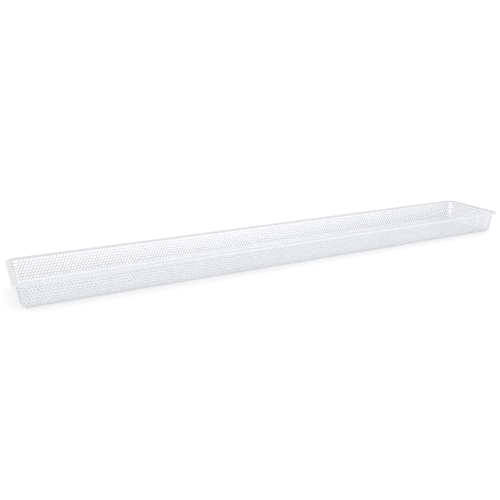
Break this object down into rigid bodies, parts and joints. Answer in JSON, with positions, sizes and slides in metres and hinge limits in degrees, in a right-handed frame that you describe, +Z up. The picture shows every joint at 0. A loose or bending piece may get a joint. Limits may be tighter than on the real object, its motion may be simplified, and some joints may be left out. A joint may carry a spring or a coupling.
{
  "type": "baguette tray",
  "caption": "Long, narrow, shallow perforated metal tray with leaning walls, rounded corners and a folded rim, for proving, baking or showing baguettes.",
  "frame": {"origin": "middle of the underside, on the surface the tray stands on", "axes": "+X along the tray's length, +Y across it, +Z up"},
  "size_m": [0.78, 0.115, 0.035],
  "materials": {
    "basket_sheet": "satin, finely perforated",
    "rim_strip": "satin",
    "edge_wire": "drawn"
  },
  "bodies": {
    "root": {"basket": "basket_sheet", "rim_front": "rim_strip", "rim_back": "rim_strip", "rim_end_left": "rim_strip", "rim_end_right": "rim_strip", "rim_wire": "edge_wire"}
  },
  "joints": []
}
